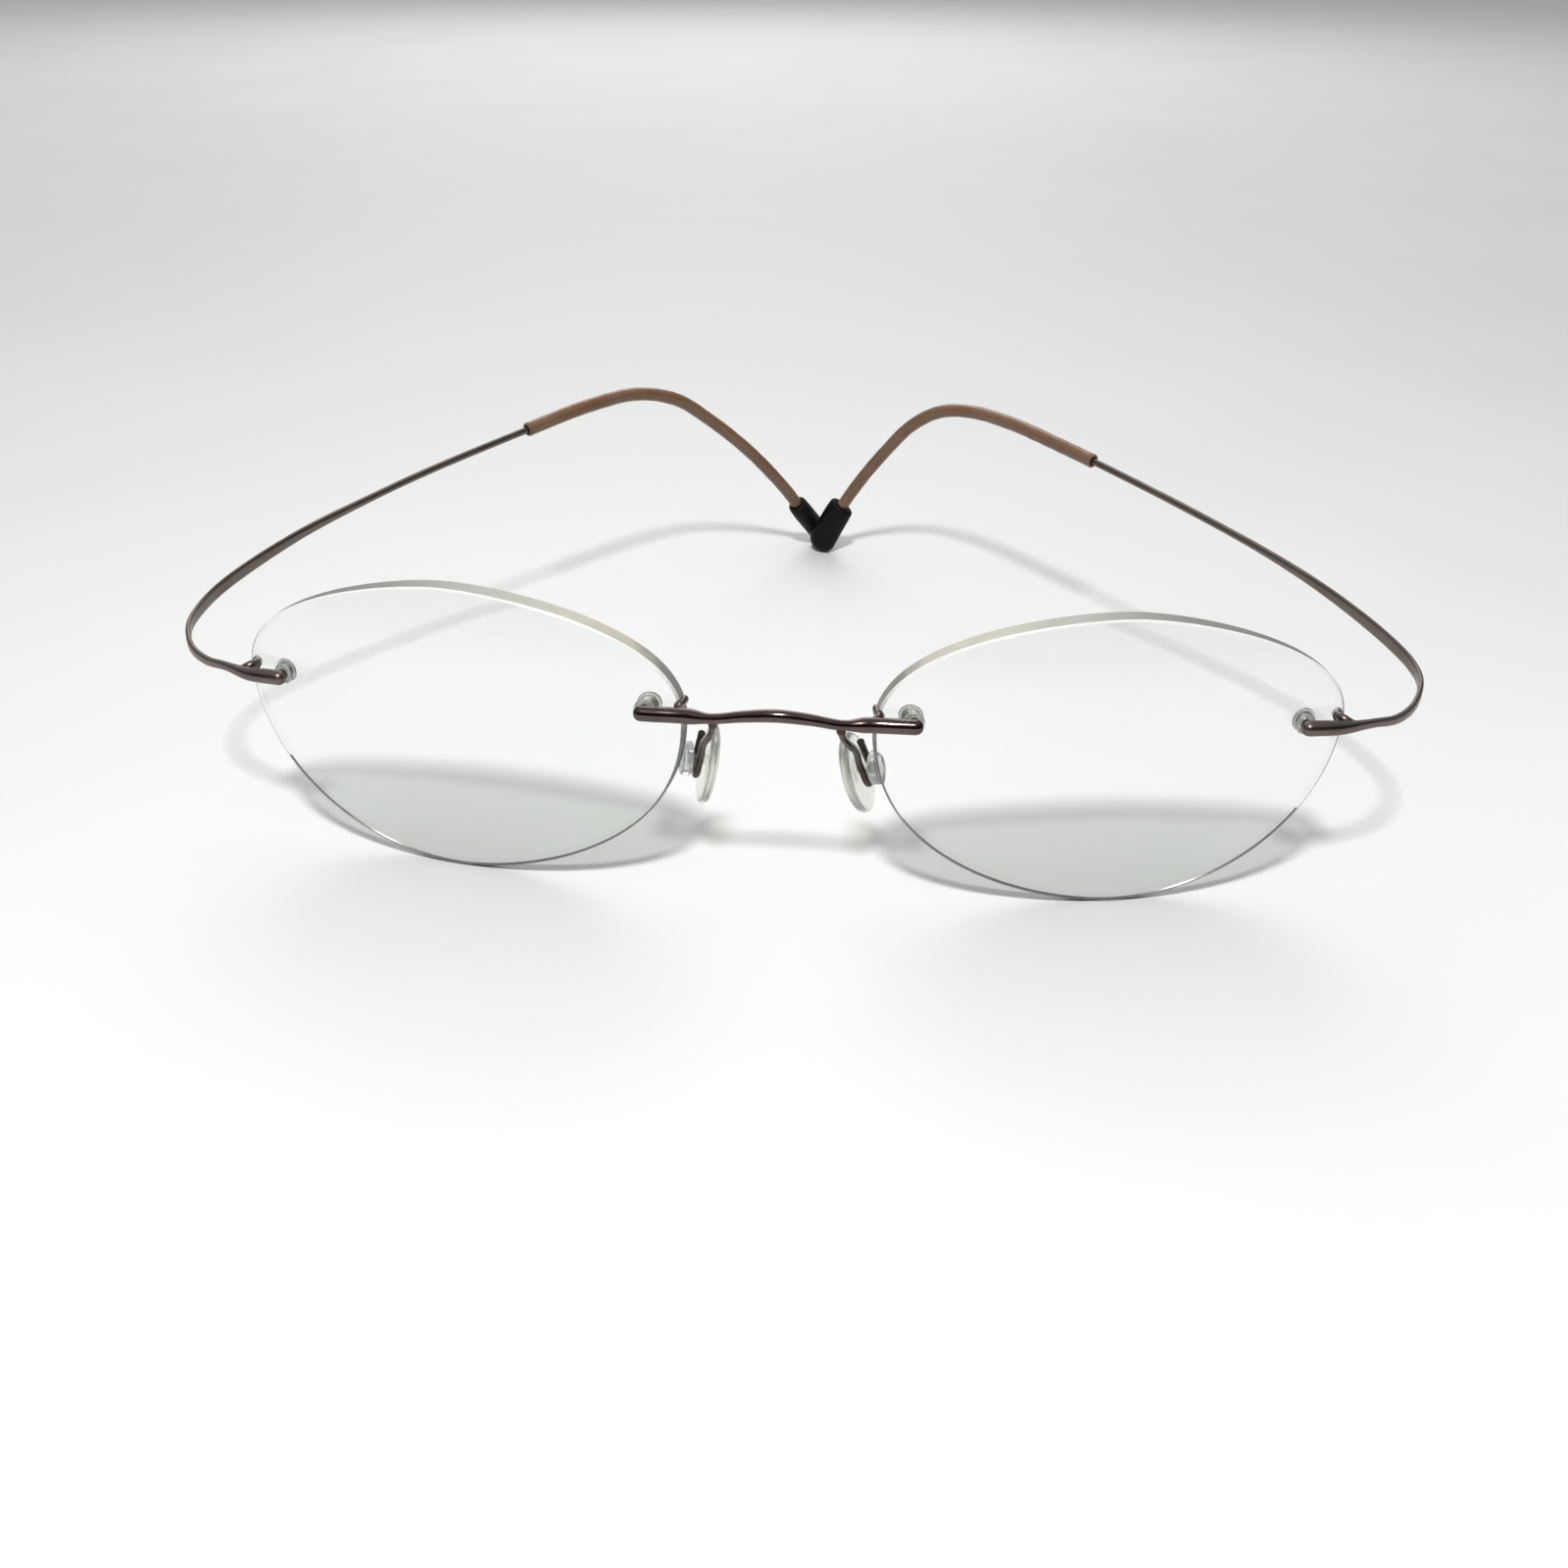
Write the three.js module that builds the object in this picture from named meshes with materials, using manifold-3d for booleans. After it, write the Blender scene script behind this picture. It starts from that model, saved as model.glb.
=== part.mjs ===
// Rimless eyeglasses with hingeless flexible wire temples.
// Millimetres, +Z up. The front faces -Y, and the temples run back towards +Y.
// The glasses stand on the lower edges of the lenses and on the two end caps.
// Left and right are the wearer's: left is +X. Each piece is shaped on the +X side,
// with x measured outwards from the middle plane, and mirrored for the right side.

import * as THREE from 'three';
import { mergeVertices } from 'three/addons/utils/BufferGeometryUtils.js';
import Module from 'manifold-3d';

const manifoldLibrary = await Module();
manifoldLibrary.setup();

// ---------------------------------------------------------------- dimensions

const lens = {
  width: 49,
  height: 32.75,
  centreX: 34.47,          // half the distance between the two lens centres
  wrapDegrees: 9,          // each lens turns back towards its temple
  tiltDegrees: -1,         // the top of each lens leans back
  frontRadius: 92,         // curve of the front surface
  backRadius: 105,         // the back surface is flatter, so the edge is thinner
  thickest: 1.75,          // before the gain towards the top
  thickestU: -9,           // middle of the back curve, from the lens centre towards the temple
  thickestV: 12,           // middle of the back curve, above the lens centre
  topGain: 0.62,           // how much thicker the upper edge is made
  temporalHigh: 4.3,       // the widest points sit above the lens centre
  nasalHigh: 3.7,
  topShift: 0.3,           // highest point, from the lens centre towards the temple
  bottomShift: 1.4,        // lowest point, likewise
};

const hole = { radius: 1.0, nasalU: -20.6, nasalV: 5.25, temporalU: 20.0, temporalV: 4.15 };
const notch = { radius: 0.6, nasalU: -24.1, temporalU: 23.75, rise: 0.35 };

const fastener = {
  postRadius: 0.5,
  boreRadius: 0.62,
  sleeveRadius: 0.88,
  collarRadius: 1.1,
  collarDepth: 0.14,
  gap: 0.1,
  flangeRadius: 1.26,
  flangeDepth: 0.5,
  pinRadius: 0.46,
  pinTail: 0.45,           // how far an edge pin shows behind the lens
};

const bar = { endRadius: 0.82, neckRadius: 0.55, middleRadius: 0.68, standoff: 0.34 };
const bridge = { neckX: 6.5, neckY: -2.5, neckZ: 21.8, middleY: -2.75, middleZ: 22.6 };

const temple = {
  barLength: 5.1,          // from the round tip to the lens edge
  flexGap: 0.5,            // the strip is parted here, on the flex axis
  flexAlong: 18,           // flex axis, along the route from the bar's tip
  stripTallest: 0.76,      // half heights and half thicknesses of the flat strip
  stripStart: 0.46,
  stripThin: 0.26,
  wireRadius: 0.46,
  taperEnd: 58,            // the strip has become a round wire here, along the route
  sleeveRadius: 0.96,
  sleeveBore: 0.58,
  capNose: 2,              // length of the cap's rounded end
  capFloor: 2.2,           // solid rubber beyond the end of the cap's bore
};

// Temple routes behind the lens edge: outwards, back and up, from the front of the lenses.
const leftRoute = [
  [61.1, 6.4, 20.5], [63.7, 8.2, 20.1], [66.1, 11.0, 20.2], [67.7, 14.6, 20.9], [68.0, 18.6, 21.2],
  [66.5, 24.0, 21.9], [61.9, 33.4, 23.3], [56.6, 42.0, 24.4], [48.6, 53.0, 25.6],
  [39.7, 64.0, 26.8], [32.2, 72.5, 27.8], [26.2, 79.5, 28.3], [20.7, 85.2, 28.1],
  [16.2, 88.8, 26.9], [12.0, 92.1, 23.6], [8.2, 94.8, 18.6], [4.5, 96.9, 13.1], [1.2, 98.5, 7.4],
  [-2.2, 99.6, 0.27],
];
const rightRoute = [
  [60.6, 6.2, 20.7], [63.4, 8.0, 20.3], [66.4, 11.0, 20.3], [68.3, 14.8, 20.8], [68.8, 18.8, 21.2],
  [67.8, 24.0, 22.2], [62.4, 34.5, 24.6], [56.0, 45.0, 26.2], [50.6, 53.0, 27.3],
  [40.5, 65.0, 29.3], [33.4, 73.4, 30.5], [27.6, 79.9, 30.5], [22.6, 84.6, 28.5],
  [18.7, 88.2, 24.9], [12.9, 93.0, 18.5], [7.7, 97.2, 11.4], [4.8, 100.1, 6.4], [1.2, 104.2, 0.35],
];

// How the two temples are covered: lengths, and the cap's half width seen from the front
// and half thickness from front to back. The left cap is broad and flat, the right one round.
const covered = {
  left: { sleeve: 55.8, cap: 9, capTall: 2.15, capThick: 1.45 },
  right: { sleeve: 57.2, cap: 10.3, capTall: 1.6, capThick: 1.6 },
};

const pad = {
  length: 10.7,
  width: 6.6,
  rim: 0.42,
  nearFace: 0.78,          // distance of the pad's hollow side from the loop's plane
  farFace: 2.0,
  drop: 0.75,              // the pad's middle sits this far below the loop's middle
  forwardLean: 3.6,        // over the pad's height, its top stands this much further forward
  height: 11.4,
  splayDegrees: 14,        // the pad's back edge stands further out than its front edge
  bossRadius: 0.52,
  loopX: 9.0,
  loopY: 4.1,
  loopZ: 13.4,
  loopHalfWidth: 1.1,
  legBelow: 0.9,
  legAbove: 3.0,
  wireRadius: 0.4,
};
const inwardLean = { left: 3.7, right: 2.7 };    // the two pads are bent to different angles
const button = { radius: 1.85, thickness: 1.1, nearFace: 0.68, boreRadius: 0.66, boreDepth: 0.5 };

// The middle of the footprint, behind the front of the lenses.
const footprintMiddleY = 50.7;

// ------------------------------------------------------------------- helpers

const radians = THREE.MathUtils.degToRad;
const blend = THREE.MathUtils.lerp;
const ease = THREE.MathUtils.smoothstep;

function cleaned(geometry) {
  const bare = geometry.clone();
  bare.deleteAttribute('normal');
  bare.deleteAttribute('uv');
  return mergeVertices(bare, 1e-5);
}

function toSolid(geometry) {
  const bare = cleaned(geometry);
  return new manifoldLibrary.Manifold(new manifoldLibrary.Mesh({
    numProp: 3,
    vertProperties: new Float32Array(bare.attributes.position.array),
    triVerts: new Uint32Array(bare.index.array),
  }));
}

function toGeometry(solid) {
  const mesh = solid.getMesh();
  const geometry = new THREE.BufferGeometry();
  geometry.setAttribute('position', new THREE.BufferAttribute(new Float32Array(mesh.vertProperties), 3));
  geometry.setIndex(new THREE.BufferAttribute(new Uint32Array(mesh.triVerts), 1));
  return geometry;
}

function joined(geometries) {
  return toGeometry(geometries.map(toSolid).reduce((whole, piece) => whole.add(piece)));
}

function cut(geometry, tools) {
  return toGeometry(tools.map(toSolid).reduce((whole, tool) => whole.subtract(tool), toSolid(geometry)));
}

function mirrored(geometry) {
  const copy = geometry.clone().applyMatrix4(new THREE.Matrix4().makeScale(-1, 1, 1));
  const index = copy.index.array;
  for (let i = 0; i < index.length; i += 3) {
    [index[i], index[i + 1]] = [index[i + 1], index[i]];
  }
  return copy;
}

function enclosedVolume(points, index) {
  let six = 0;
  for (let i = 0; i < index.length; i += 3) {
    const [a, b, c] = [points[index[i]], points[index[i + 1]], points[index[i + 2]]];
    six += a.dot(b.clone().cross(c));
  }
  return six / 6;
}

// A closed skin over a row of rings, each with the same number of points.
// The first and last rings are closed by a fan to the two end points.
// With no end points the last ring joins the first, which makes a pipe.
function skin(rings, startPoint, endPoint) {
  const sides = rings[0].length;
  const points = rings.flat();
  const index = [];
  const rows = startPoint ? rings.length - 1 : rings.length;
  for (let row = 0; row < rows; row += 1) {
    const near = row * sides;
    const far = ((row + 1) % rings.length) * sides;
    for (let k = 0; k < sides; k += 1) {
      const next = (k + 1) % sides;
      index.push(near + k, near + next, far + next, near + k, far + next, far + k);
    }
  }
  if (startPoint) {
    const start = points.push(startPoint) - 1;
    const end = points.push(endPoint) - 1;
    const last = (rings.length - 1) * sides;
    for (let k = 0; k < sides; k += 1) {
      const next = (k + 1) % sides;
      index.push(start, next, k, end, last + k, last + next);
    }
  }
  if (enclosedVolume(points, index) < 0) index.reverse();
  const geometry = new THREE.BufferGeometry().setFromPoints(points);
  geometry.setIndex(index);
  return geometry;
}

function curveThrough(points) {
  return new THREE.CatmullRomCurve3(points.map((p) => new THREE.Vector3(...p)), false, 'centripetal');
}

// A ring of points round a curve at a distance along it. The section is a rounded box with the
// given half thickness (sideways) and half height; roundness 2 is an ellipse, more is squarer.
function ringAt(curve, along, section, sides, guide) {
  const u = along / curve.getLength();
  const centre = curve.getPointAt(u);
  const forward = curve.getTangentAt(u);
  const sideways = new THREE.Vector3().crossVectors(forward, guide).normalize();
  const upwards = new THREE.Vector3().crossVectors(sideways, forward);
  return Array.from({ length: sides }, (_, k) => {
    const angle = (2 * Math.PI * k) / sides;
    const power = 2 / (section.roundness ?? 2);
    const across = Math.sign(Math.cos(angle)) * Math.abs(Math.cos(angle)) ** power;
    const rise = Math.sign(Math.sin(angle)) * Math.abs(Math.sin(angle)) ** power;
    return centre.clone()
      .addScaledVector(sideways, section.thick * across)
      .addScaledVector(upwards, section.tall * rise);
  });
}

const UP = new THREE.Vector3(0, 0, 1);

function sweep(curve, distances, sectionAt, sides, guide = UP) {
  const total = curve.getLength();
  const rings = distances.map((along) => ringAt(curve, along, sectionAt(along), sides, guide));
  return skin(
    rings,
    curve.getPointAt(distances[0] / total),
    curve.getPointAt(distances[distances.length - 1] / total),
  );
}

function evenly(from, to, count) {
  return Array.from({ length: count + 1 }, (_, k) => blend(from, to, k / count));
}

function round(radius) {
  return { thick: radius, tall: radius };
}

// The size of a round nose at a distance from its tip.
function noseScale(distance, radius) {
  const inside = Math.min(1, Math.max(0.04, distance / radius));
  return Math.sqrt(1 - (1 - inside) ** 2);
}

// A rod across a piece, from one depth to another along the fastener's own axis (+Y).
function rod(radius, fromY, toY, sides = 16) {
  return new THREE.CylinderGeometry(radius, radius, toY - fromY, sides)
    .translate(0, (fromY + toY) / 2, 0);
}

function turned(profile, sides = 16) {
  return new THREE.LatheGeometry(profile.map(([r, y]) => new THREE.Vector2(r, y)), sides);
}

// -------------------------------------------------------------------- lenses

// Points of the lens are (u, v): u towards the temple and v up, from the lens centre.
const thinning = 1 / lens.frontRadius - 1 / lens.backRadius;

function frontDepth(u, v) {
  return (u * u + v * v) / (2 * lens.frontRadius);
}

function thickness(u, v) {
  const away = (u - lens.thickestU) ** 2 + (v - lens.thickestV) ** 2;
  const raised = Math.max(0, v) / (lens.height / 2);
  return lens.thickest - (away * thinning) / 2 + lens.topGain * raised ** 2;
}

// Four arcs between the outermost, highest, innermost and lowest points.
// Each arc's two handles are fractions of the arc's height and width.
function lensOutline(count) {
  const temporal = { u: lens.width / 2, v: lens.temporalHigh };
  const top = { u: lens.topShift, v: lens.height / 2 };
  const nasal = { u: -lens.width / 2, v: lens.nasalHigh };
  const bottom = { u: lens.bottomShift, v: -lens.height / 2 };
  const outline = new THREE.Shape().moveTo(temporal.u, temporal.v);
  const upright = (from, to, rise, run) => outline.bezierCurveTo(
    from.u, blend(from.v, to.v, rise), blend(to.u, from.u, run), to.v, to.u, to.v,
  );
  const level = (from, to, run, rise) => outline.bezierCurveTo(
    blend(from.u, to.u, run), from.v, to.u, blend(to.v, from.v, rise), to.u, to.v,
  );
  upright(temporal, top, 0.66, 0.3);
  level(top, nasal, 0.32, 0.76);
  upright(nasal, bottom, 0.79, 0.27);
  level(bottom, temporal, 0.47, 0.615);
  return outline.getSpacedPoints(count).slice(0, count);
}

const outlinePoints = lensOutline(60);

const leaning = new THREE.Matrix4().makeRotationZ(radians(lens.wrapDegrees))
  .multiply(new THREE.Matrix4().makeRotationX(radians(lens.tiltDegrees)));

function lowestPoint() {
  const heights = outlinePoints.flatMap((p) => {
    const front = frontDepth(p.x, p.y);
    return [front, front + thickness(p.x, p.y)].map(
      (depth) => new THREE.Vector3(p.x, depth, p.y).applyMatrix4(leaning).z,
    );
  });
  return Math.min(...heights);
}

const lensPlace = new THREE.Matrix4()
  .makeTranslation(lens.centreX, 0, -lowestPoint())
  .multiply(leaning);

// A frame on the front of the lens: X towards the temple, Y through the lens, Z up.
// The lens is drilled square to its own plane.
function onLens(u, v) {
  return lensPlace.clone().multiply(new THREE.Matrix4().makeTranslation(u, frontDepth(u, v), v));
}

// Tips the flat faces of a fastener so that they lie along the front or back of the lens,
// while its axis still goes straight through.
function lyingFlat(u, v, back) {
  const easing = back ? thinning : 0;
  const slopeU = u / lens.frontRadius - (u - lens.thickestU) * easing;
  const gaining = back ? (2 * lens.topGain * Math.max(0, v)) / (lens.height / 2) ** 2 : 0;
  const slopeV = v / lens.frontRadius - (v - lens.thickestV) * easing + gaining;
  return new THREE.Matrix4().set(1, 0, 0, 0, slopeU, 1, slopeV, 0, 0, 0, 1, 0, 0, 0, 0, 1);
}

const nasalPlace = onLens(hole.nasalU, hole.nasalV);
const temporalPlace = onLens(hole.temporalU, hole.temporalV);
const nasalPin = onLens(notch.nasalU, hole.nasalV + notch.rise);
const temporalPin = onLens(notch.temporalU, hole.temporalV + notch.rise);

function lensGeometry() {
  const ring = (share, back) => outlinePoints.map((p) => {
    const [u, v] = [p.x * share, p.y * share];
    return new THREE.Vector3(u, frontDepth(u, v) + (back ? thickness(u, v) : 0), v);
  });
  const shares = [0.3, 0.6, 0.82, 1];
  const rings = [
    ...shares.map((share) => ring(share, false)),
    ...[...shares].reverse().map((share) => ring(share, true)),
  ];
  const blank = skin(rings, new THREE.Vector3(), new THREE.Vector3(0, thickness(0, 0), 0))
    .applyMatrix4(lensPlace);
  return cut(blank, [
    rod(hole.radius, -3, 5).applyMatrix4(nasalPlace),
    rod(hole.radius, -3, 5).applyMatrix4(temporalPlace),
    rod(notch.radius, -3, 5).applyMatrix4(nasalPin),
    rod(notch.radius, -3, 5).applyMatrix4(temporalPin),
  ]);
}

// ----------------------------------------------------------- bushes and caps

function bushGeometry(u, v) {
  const localThickness = thickness(u, v);
  const { boreRadius, sleeveRadius, collarRadius, collarDepth, gap } = fastener;
  const profile = [
    [boreRadius, -gap - collarDepth],
    [collarRadius, -gap - collarDepth],
    [collarRadius, -gap],
    [sleeveRadius, -gap],
    [sleeveRadius, localThickness - gap],
    [boreRadius, localThickness - gap],
    [boreRadius, -gap - collarDepth],
  ];
  return cleaned(turned(profile)).applyMatrix4(lyingFlat(u, v, false)).applyMatrix4(onLens(u, v));
}

// The rear flange: a low round cap with a rounded shoulder and a flat back face.
function flangeGeometry(u, v) {
  const { boreRadius, flangeRadius, flangeDepth, gap } = fastener;
  const near = thickness(u, v) + gap;
  const far = near + flangeDepth;
  const shoulder = 0.3;
  const arc = Array.from({ length: 5 }, (_, k) => {
    const angle = (Math.PI / 2) * (k / 4);
    return [
      flangeRadius - shoulder * (1 - Math.cos(angle)),
      far - shoulder * (1 - Math.sin(angle)),
    ];
  });
  const profile = [[boreRadius, near], [flangeRadius, near], ...arc, [boreRadius, far], [boreRadius, near]];
  return cleaned(turned(profile)).applyMatrix4(lyingFlat(u, v, true)).applyMatrix4(onLens(u, v));
}

function postGeometry(place, localThickness) {
  const end = localThickness + fastener.gap + fastener.flangeDepth - 0.25;
  return rod(fastener.postRadius, -bar.standoff - bar.endRadius, end).applyMatrix4(place);
}

// A pin through the notch in the lens edge, with a thicker root on the bar.
function pinGeometry(place, onBar, localThickness) {
  const { pinRadius, pinTail } = fastener;
  const end = localThickness + pinTail;
  const root = onBar.clone().applyMatrix4(place.clone().invert()).y;
  return turned([
    [0, root],
    [pinRadius + 0.2, root],
    [pinRadius + 0.2, root + bar.endRadius],
    [pinRadius, -0.1],
    [pinRadius, end - 0.2],
    [pinRadius - 0.14, end],
    [0, end],
  ], 14).applyMatrix4(place);
}

const nasalThickness = thickness(hole.nasalU, hole.nasalV);
const temporalThickness = thickness(hole.temporalU, hole.temporalV);

// -------------------------------------------------------------------- bridge

function barCentre(place) {
  return new THREE.Vector3(0, -bar.standoff - bar.endRadius, 0).applyMatrix4(place);
}

function bridgeGeometry() {
  const post = barCentre(nasalPlace);
  const half = [
    [post.x + bar.endRadius, post.y + 0.05, post.z],
    [post.x - 1.6, post.y, post.z],
    [9.4, post.y - 0.03, post.z],
    [bridge.neckX, bridge.neckY, bridge.neckZ],
    [3.3, (bridge.neckY + bridge.middleY) / 2, blend(bridge.neckZ, bridge.middleZ, 0.62)],
  ];
  const otherHalf = half.map(([x, y, z]) => [-x, y, z]).reverse();
  const curve = curveThrough([...half, [0, bridge.middleY, bridge.middleZ], ...otherHalf]);
  const total = curve.getLength();
  const radiusAt = (along) => {
    const fromMiddle = Math.abs(along - total / 2);
    const endBar = blend(bar.neckRadius, bar.endRadius, ease(fromMiddle, bridge.neckX + 0.4, 9.2));
    const middle = blend(bar.middleRadius, bar.neckRadius, ease(fromMiddle, 0, bridge.neckX));
    return fromMiddle > bridge.neckX ? endBar : middle;
  };
  const nose = [0, 0.06, 0.2, 0.42, 0.78].map((share) => share * bar.endRadius);
  const distances = [...nose, ...evenly(1.1, total - 1.1, 26), ...nose.map((d) => total - d).reverse()];
  const rodGeometry = sweep(curve, distances, (along) => {
    const fromTip = Math.min(along, total - along);
    return round(radiusAt(along) * noseScale(fromTip, bar.endRadius));
  }, 12);
  const besidePin = new THREE.Vector3().setFromMatrixPosition(nasalPin).setY(post.y);
  const fixings = [
    postGeometry(nasalPlace, nasalThickness),
    pinGeometry(nasalPin, besidePin, thickness(notch.nasalU, hole.nasalV)),
  ];
  return joined([rodGeometry, ...fixings, ...fixings.map((piece) => mirrored(cleaned(piece)))]);
}

// ------------------------------------------------------------------- temples

function templeCurve(route) {
  const post = barCentre(temporalPlace);
  const along = new THREE.Vector3(1, 0, 0).transformDirection(temporalPlace);
  const onBar = (distance) => post.clone().addScaledVector(along, distance).toArray();
  return curveThrough([onBar(-bar.endRadius), onBar(1.4), onBar(temple.barLength - 1.6), ...route]);
}

// Half height and half thickness of the metal at a distance from the bar's tip.
function templeSection(along) {
  const { barLength, stripStart, stripTallest, stripThin, wireRadius, taperEnd, flexAlong } = temple;
  const leavingBar = ease(along, 2, barLength + 3);
  const growing = ease(along, barLength + 2, flexAlong + 7);
  const shrinking = ease(along, flexAlong + 9, taperEnd);
  const stripTall = blend(blend(stripStart, stripTallest, growing), wireRadius, shrinking);
  const stripThick = blend(blend(0.36, stripThin, growing), wireRadius, shrinking);
  return {
    tall: blend(bar.endRadius, stripTall, leavingBar),
    thick: blend(bar.endRadius, stripThick, leavingBar),
    roundness: blend(blend(2, 3.2, leavingBar), 2, shrinking),
  };
}

function endPieceGeometry(curve) {
  const nose = [0, 0.06, 0.2, 0.42, 0.78].map((share) => share * bar.endRadius);
  const distances = [...nose, ...evenly(1.1, temple.flexAlong - temple.flexGap / 2, 16)];
  const body = sweep(curve, distances, (along) => {
    const section = templeSection(along);
    const scale = noseScale(along, bar.endRadius);
    return { ...section, tall: section.tall * scale, thick: section.thick * scale };
  }, 12);
  return joined([
    body,
    postGeometry(temporalPlace, temporalThickness),
    pinGeometry(temporalPin, barCentre(temporalPlace), thickness(notch.temporalU, hole.temporalV)),
  ]);
}

function wireGeometry(curve) {
  const total = curve.getLength();
  const start = temple.flexAlong + temple.flexGap / 2;
  const end = total - temple.capFloor - 0.4;
  const distances = [...evenly(start, temple.taperEnd, 18), ...evenly(temple.taperEnd + 3, end, 26)];
  return sweep(curve, distances, templeSection, 8);
}

function sleeveGeometry(curve, length, capLength) {
  const total = curve.getLength();
  const end = total - capLength - 0.3;
  const distances = evenly(end - length, end, 22);
  const outside = distances.map((along) => ringAt(curve, along, round(temple.sleeveRadius), 10, UP));
  const inside = distances.map((along) => ringAt(curve, along, round(temple.sleeveBore), 10, UP));
  return skin([...outside, ...inside.reverse()]);
}

// The end cap: a plump round-ended plug with a blind bore for the wire.
function capGeometry(curve, length, capTall, capThick) {
  const total = curve.getLength();
  const mouth = total - length;
  const lip = 0.35;
  const fromTip = [3.2, 1.8, 1, 0.5, 0.2, 0.04];
  const outer = [0, 0.2, 0.7, 1.6, length / 2, ...fromTip.map((distance) => length - distance)];
  const outside = outer.map((distance) => {
    const lipped = lip * (1 - ease(distance, 0, 1.6));
    const nose = noseScale(length - distance, temple.capNose);
    const section = { tall: (capTall - lipped) * nose, thick: (capThick - lipped) * nose };
    return ringAt(curve, mouth + distance, section, 12, UP);
  });
  const boreDepth = length - temple.capFloor;
  const bore = evenly(0, boreDepth, 3);
  const inside = bore.map((d) => ringAt(curve, mouth + d, round(temple.sleeveBore), 12, UP));
  return skin(
    [...inside.reverse(), ...outside],
    curve.getPointAt((mouth + boreDepth) / total),
    curve.getPointAt(1),
  );
}

// ----------------------------------------------------------------- nose pads

// A frame on the pad arm's loop: X from front to back across the loop, Y along the
// pad towards its top, Z out of the loop towards the lens. The nose is on the -Z side.
function padPlace(lean) {
  const top = new THREE.Vector3(-lean, -pad.forwardLean, pad.height).normalize();
  const splay = radians(pad.splayDegrees);
  const level = new THREE.Vector3(Math.sin(splay), Math.cos(splay), 0);
  const across = level.addScaledVector(top, -level.dot(top)).normalize();
  const outward = new THREE.Vector3().crossVectors(across, top);
  return new THREE.Matrix4().makeBasis(across, top, outward).setPosition(pad.loopX, pad.loopY, pad.loopZ);
}

function padArmGeometry(loop) {
  const { loopHalfWidth, legBelow, legAbove, wireRadius } = pad;
  const onLoop = (across, up) => new THREE.Vector3(across, up, 0).applyMatrix4(loop);
  const turn = Array.from({ length: 5 }, (_, k) => {
    const angle = Math.PI * (k / 4);
    return onLoop(-loopHalfWidth * Math.cos(angle), -legBelow - loopHalfWidth * Math.sin(angle));
  });
  const route = [
    new THREE.Vector3(bridge.neckX, bridge.neckY + 0.15, bridge.neckZ - bar.neckRadius - 0.3),
    new THREE.Vector3(6.75, -1.5, 19.7),
    new THREE.Vector3(7.95, 1.1, 16.9),
    onLoop(-loopHalfWidth, 1.8),
    onLoop(-loopHalfWidth, 0.2),
    ...turn,
    onLoop(loopHalfWidth, 0.9),
    onLoop(loopHalfWidth, legAbove),
  ];
  const curve = new THREE.CatmullRomCurve3(route, false, 'centripetal');
  const guide = new THREE.Vector3(0, 0, 1).transformDirection(loop);
  const distances = evenly(0, curve.getLength(), 34);
  return sweep(curve, distances, () => round(wireRadius), 8, guide);
}

// An oval shell: hollow towards the loop, crowned towards the nose, with a soft rim and
// a boss which passes between the loop's two legs.
function padGeometry(loop) {
  const sides = 28;
  const onLoop = (across, up, noseward) => new THREE.Vector3(across, up, -noseward).applyMatrix4(loop);
  const ring = (share, noseward) => Array.from({ length: sides }, (_, k) => {
    const angle = (2 * Math.PI * k) / sides;
    const across = (pad.width / 2) * share * Math.cos(angle);
    const up = (pad.length / 2) * share * Math.sin(angle) - pad.drop;
    return onLoop(across, up, noseward);
  });
  const crown = (share) => blend(pad.farFace, pad.nearFace + 2 * pad.rim, share ** 2.4);
  const rings = [
    ring(0.5, pad.nearFace),
    ring(0.88, pad.nearFace),
    ring(0.97, pad.nearFace + 0.12),
    ring(1, pad.nearFace + pad.rim),
    ...[0.97, 0.86, 0.68, 0.42].map((share) => ring(share, crown(share))),
  ];
  const shell = skin(rings, onLoop(0, -pad.drop, pad.nearFace), onLoop(0, -pad.drop, pad.farFace));
  const bossFrom = -button.nearFace - button.boreDepth + 0.12;
  const bossTo = pad.nearFace + 0.3;
  const boss = new THREE.CylinderGeometry(pad.bossRadius, pad.bossRadius, bossTo - bossFrom, 16)
    .rotateX(Math.PI / 2)
    .translate(0, 0, -(bossTo + bossFrom) / 2)
    .applyMatrix4(loop);
  return joined([shell, boss]);
}

// The snap button on the lens side of the loop, with a blind bore for the pad's boss.
function buttonGeometry(loop) {
  const { radius, thickness: depth, nearFace, boreRadius, boreDepth } = button;
  const edge = 0.2;
  const profile = [
    [0, nearFace + boreDepth],
    [boreRadius, nearFace + boreDepth],
    [boreRadius, nearFace],
    [radius - edge, nearFace],
    [radius, nearFace + edge],
    [radius, nearFace + depth - edge],
    [radius - edge, nearFace + depth],
    [0, nearFace + depth],
  ];
  return cleaned(turned(profile, 20)).rotateX(Math.PI / 2).applyMatrix4(loop);
}

// ------------------------------------------------------------------ assembly

const finishes = {
  metal: { color: 0x5b4c47, metalness: 0.9, roughness: 0.22 },
  glass: { color: 0xe9f1ec, metalness: 0, roughness: 0.04, transparent: true, opacity: 0.25 },
  clear: { color: 0xe6e7dd, metalness: 0, roughness: 0.18, transparent: true, opacity: 0.55 },
  silicone: { color: 0xe2e2d4, metalness: 0, roughness: 0.3, transparent: true, opacity: 0.6 },
  sleeve: { color: 0x8a5a42, metalness: 0, roughness: 0.35 },
  rubber: { color: 0x161415, metalness: 0, roughness: 0.5 },
};

const glasses = new THREE.Group();
glasses.position.y = -footprintMiddleY;

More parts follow.
